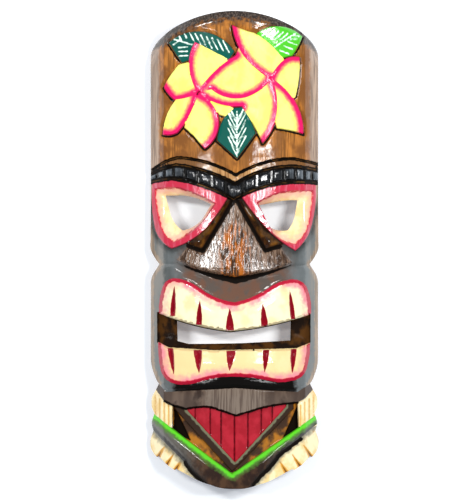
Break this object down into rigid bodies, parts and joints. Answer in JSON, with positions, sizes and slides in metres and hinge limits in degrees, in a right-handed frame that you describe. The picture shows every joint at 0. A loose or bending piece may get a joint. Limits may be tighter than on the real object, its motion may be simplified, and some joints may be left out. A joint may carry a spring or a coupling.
{
  "type": "tiki mask",
  "caption": "Tall half-round wooden tiki mask carved in relief, with eyes and mouth cut through and a hollowed back.",
  "frame": {"origin": "middle of the flat back rim's plane, halfway across and halfway from crown to foot", "axes": "+X across the face, to the right as seen from the front; +Y towards the crown; +Z out of the face"},
  "size_m": [0.1776, 0.5, 0.061],
  "materials": {
    "painted_wood": "stained and painted light wood under gloss varnish"
  },
  "bodies": {
    "root": {"mask": "painted_wood"}
  },
  "joints": []
}
